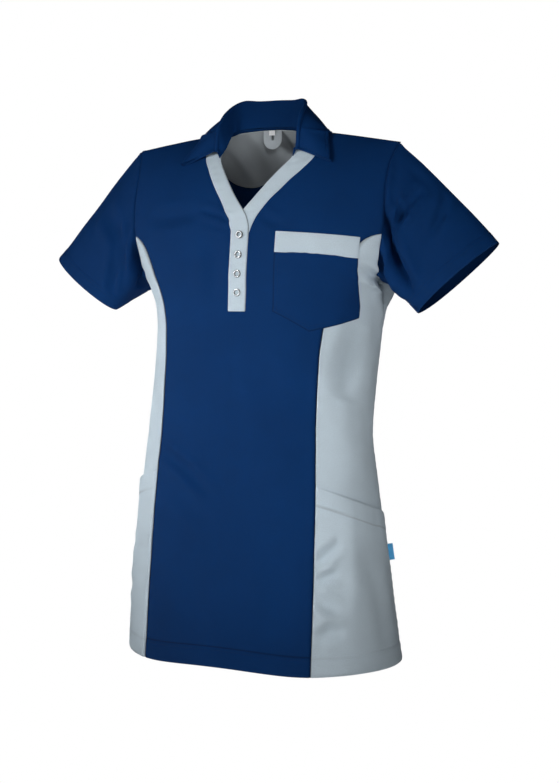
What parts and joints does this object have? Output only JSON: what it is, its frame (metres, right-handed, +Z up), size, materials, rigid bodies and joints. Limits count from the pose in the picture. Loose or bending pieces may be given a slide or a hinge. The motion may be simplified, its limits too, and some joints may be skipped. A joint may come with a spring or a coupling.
{
  "type": "work polo shirt",
  "caption": "Short-sleeved flared work tunic with a polo collar, V neck with a snap placket, contrast side panels, a chest pocket and hip pockets, filled out as worn.",
  "frame": {"origin": "midway between the two points where the shoulder seams meet the neck, where the wearer's shoulders hold the garment up", "axes": "+Z up, +X towards the wearer's left, the front faces -Y"},
  "size_m": [0.6646, 0.2676, 0.7503],
  "materials": {
    "navy_cloth": "matt twill",
    "grey_cloth": "matt twill",
    "inner_grey_cloth": "matt twill",
    "white_label": "woven tape",
    "blue_label": "woven tape",
    "snap_steel": "polished ring"
  },
  "bodies": {
    "root": {"front_body": "navy_cloth", "back_body": "navy_cloth", "sleeve_left": "navy_cloth", "sleeve_right": "navy_cloth", "collar": "navy_cloth", "chest_pocket_body": "navy_cloth", "side_panel_left": "grey_cloth", "side_panel_right": "grey_cloth", "neck_band_top": "grey_cloth", "neck_band_under": "grey_cloth", "chest_pocket_band": "grey_cloth", "hip_pocket_left": "grey_cloth", "hip_pocket_right": "grey_cloth", "hanger_loop": "grey_cloth", "back_neck_facing": "inner_grey_cloth", "neck_label": "white_label", "side_label": "blue_label", "snap_1": "snap_steel", "snap_2": "snap_steel", "snap_3": "snap_steel", "snap_4": "snap_steel"}
  },
  "joints": []
}
